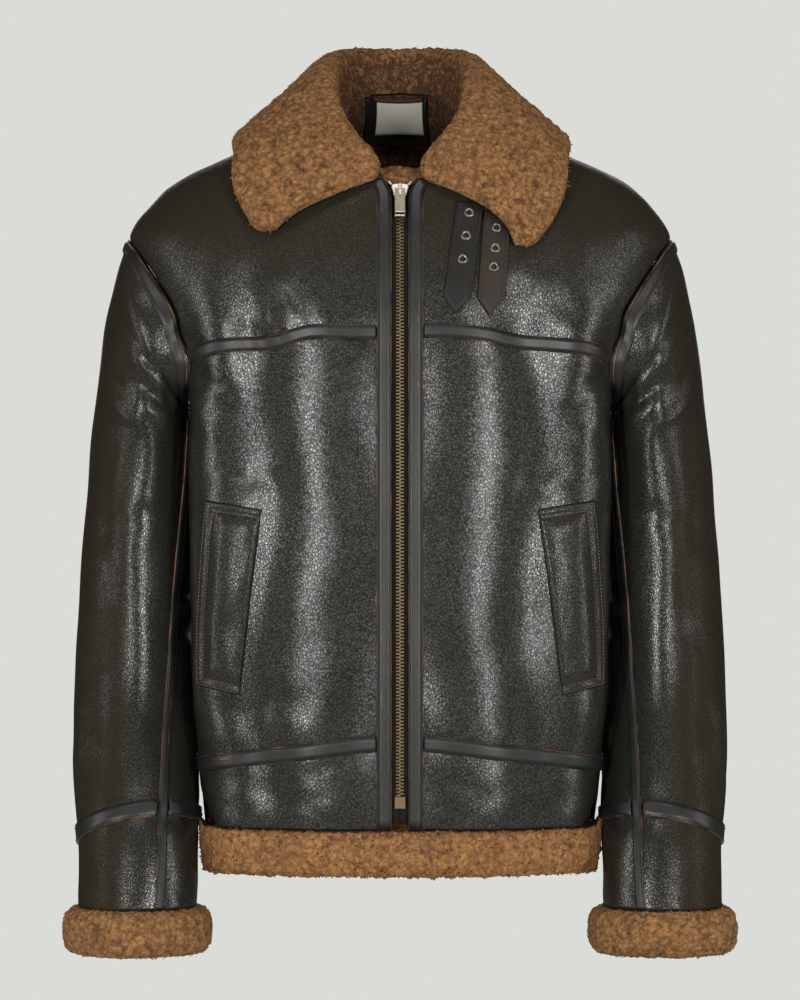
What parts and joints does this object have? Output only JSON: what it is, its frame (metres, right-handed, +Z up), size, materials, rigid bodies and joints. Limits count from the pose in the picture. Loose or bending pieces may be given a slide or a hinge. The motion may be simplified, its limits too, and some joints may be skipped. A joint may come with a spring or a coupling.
{
  "type": "leather jacket",
  "caption": "Filled-out sheepskin flying jacket with a rolled wool collar, zipped front, throat straps, slanted pockets, woolly hem and cuffs, hollow as if worn",
  "frame": {"origin": "the middle of the neck opening, level with the neck ends of the shoulder seams, where the wearer's shoulders carry it", "axes": "+Z up the wearer's body, the front of the jacket faces -Y, +X is the wearer's left"},
  "size_m": [0.6226, 0.2788, 0.8445],
  "materials": {
    "leather": "near-black brown sheepskin, fine grain, soft sheen",
    "strip_leather": "smooth dark cowhide binding, worn to tan at the edges",
    "wool": "brown sheep's wool in short curls",
    "zip_tape": "black woven cotton tape",
    "zip_metal": "aged gunmetal brass",
    "slider_metal": "worn nickel",
    "tab_metal": "antique nickel",
    "eyelet_metal": "dark gunmetal",
    "label_cloth": "off-white woven cloth, blank",
    "loop_cord": "thin tan leather"
  },
  "bodies": {
    "root": {"front_yoke_right": "leather", "front_yoke_left": "leather", "front_panel_right": "leather", "front_panel_left": "leather", "front_band_right": "leather", "front_band_left": "leather", "side_gusset_right": "leather", "side_gusset_left": "leather", "sleeve_under_right": "leather", "sleeve_under_left": "leather", "sleeve_upper_right": "leather", "sleeve_upper_left": "leather", "cuff_right": "leather", "cuff_left": "leather", "pocket_welt_right": "leather", "pocket_welt_left": "leather", "back_panel": "leather", "back_band": "leather", "zip_strip_right": "strip_leather", "zip_strip_left": "strip_leather", "chest_strip_right": "strip_leather", "chest_strip_left": "strip_leather", "armhole_strip_right": "strip_leather", "armhole_strip_left": "strip_leather", "sleeve_strip_right": "strip_leather", "sleeve_strip_left": "strip_leather", "cuff_strip_right": "strip_leather", "cuff_strip_left": "strip_leather", "waist_strip_right": "strip_leather", "waist_strip_left": "strip_leather", "waist_strip_back": "strip_leather", "strap_inner": "strip_leather", "strap_outer": "strip_leather", "neck_patch": "strip_leather", "collar": "wool", "neck_facing": "wool", "hem_fur": "wool", "cuff_fur_right": "wool", "cuff_fur_left": "wool", "zip_tape_right": "zip_tape", "zip_tape_left": "zip_tape", "zip_chain": "zip_metal", "zip_box": "zip_metal", "zip_slider": "slider_metal", "strap_inner_eyelet_1": "eyelet_metal", "strap_inner_eyelet_2": "eyelet_metal", "strap_inner_eyelet_3": "eyelet_metal", "strap_outer_eyelet_1": "eyelet_metal", "strap_outer_eyelet_2": "eyelet_metal", "strap_outer_eyelet_3": "eyelet_metal", "neck_label": "label_cloth", "hanging_loop": "loop_cord"},
    "pull_tab": {"pull_tab": "tab_metal"}
  },
  "joints": [
    {"name": "pull_tab_swing", "type": "hinge", "parent": "root", "child": "pull_tab", "pos_m": [0, -0.11041, -0.07756], "axis": [-1, 0, 0], "range_deg": [0, 110]}
  ]
}
